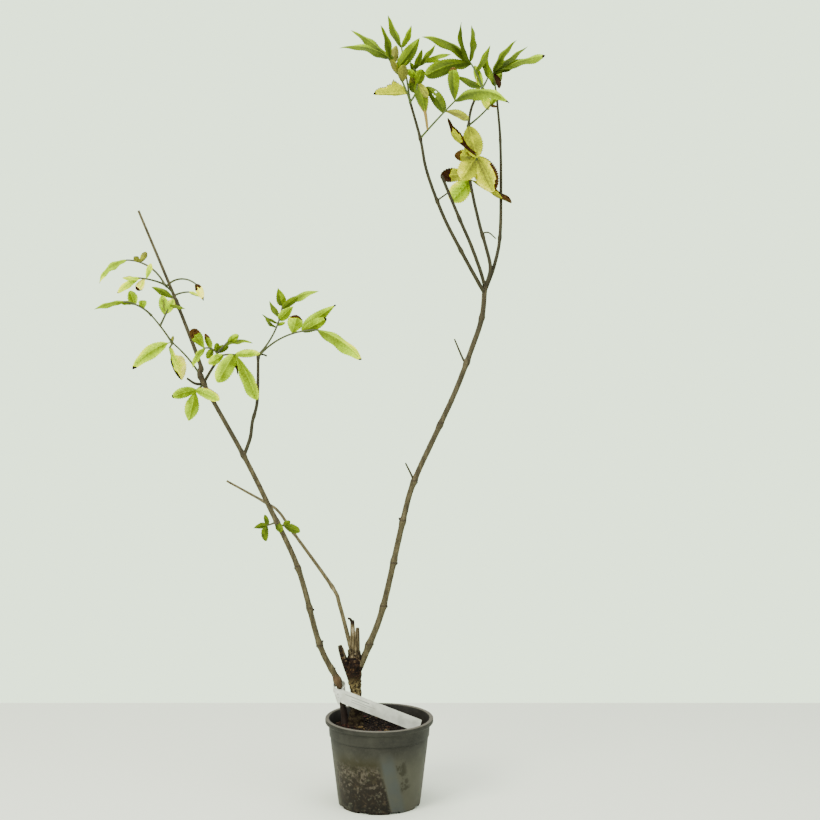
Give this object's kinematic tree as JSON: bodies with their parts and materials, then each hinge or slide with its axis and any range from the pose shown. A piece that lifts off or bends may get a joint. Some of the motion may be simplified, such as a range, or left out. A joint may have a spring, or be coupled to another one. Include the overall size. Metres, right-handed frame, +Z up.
{
  "type": "potted golden elderberry",
  "caption": "Young golden elderberry shrub in a round pot: short knobby trunk, thin bare stems and boughs, arching compound leaves in green and yellow, blank tie-on label.",
  "frame": {"origin": "middle of the pot's flat underside, on the surface that it stands on", "axes": "+Z up along the plant's height, +X to the right of its front view, +Y towards its back"},
  "size_m": [0.6559, 0.2233, 1.1873],
  "materials": {
    "pot_plastic": "satin",
    "compost": "matte",
    "label_plastic": "satin",
    "trunk_bark": "matte",
    "stem_bark": "matte",
    "bough_bark": "matte",
    "green_leaf": "matte",
    "yellow_leaf": "matte"
  },
  "bodies": {
    "root": {"pot": "pot_plastic", "potting_soil": "compost", "label": "label_plastic", "trunk": "trunk_bark", "stem_right": "stem_bark", "stem_left": "stem_bark", "stem_thin": "stem_bark", "branch_side": "bough_bark", "shoot_middle": "bough_bark", "bough_right": "bough_bark", "bough_left": "bough_bark", "bough_back": "bough_bark", "bough_middle": "bough_bark", "stub_left": "bough_bark", "twig_right_low": "bough_bark", "twig_right_high": "bough_bark", "twig_bough_back": "bough_bark", "stalk_bough_left": "bough_bark", "leaves_left_tip": "green_leaf", "leaf_left_small": "green_leaf", "leaves_left_long": "yellow_leaf", "leaf_left_three": "green_leaf", "leaves_left_middle": "green_leaf", "leaves_side_upright": "green_leaf", "leaf_side_arching": "green_leaf", "leaf_low_left": "green_leaf", "leaf_low_right": "green_leaf", "leaves_top_left": "green_leaf", "leaf_top_front": "green_leaf", "leaves_top_back": "green_leaf", "leaves_top_right": "green_leaf", "leaves_yellow": "yellow_leaf", "leaf_top_small": "green_leaf"}
  },
  "joints": []
}
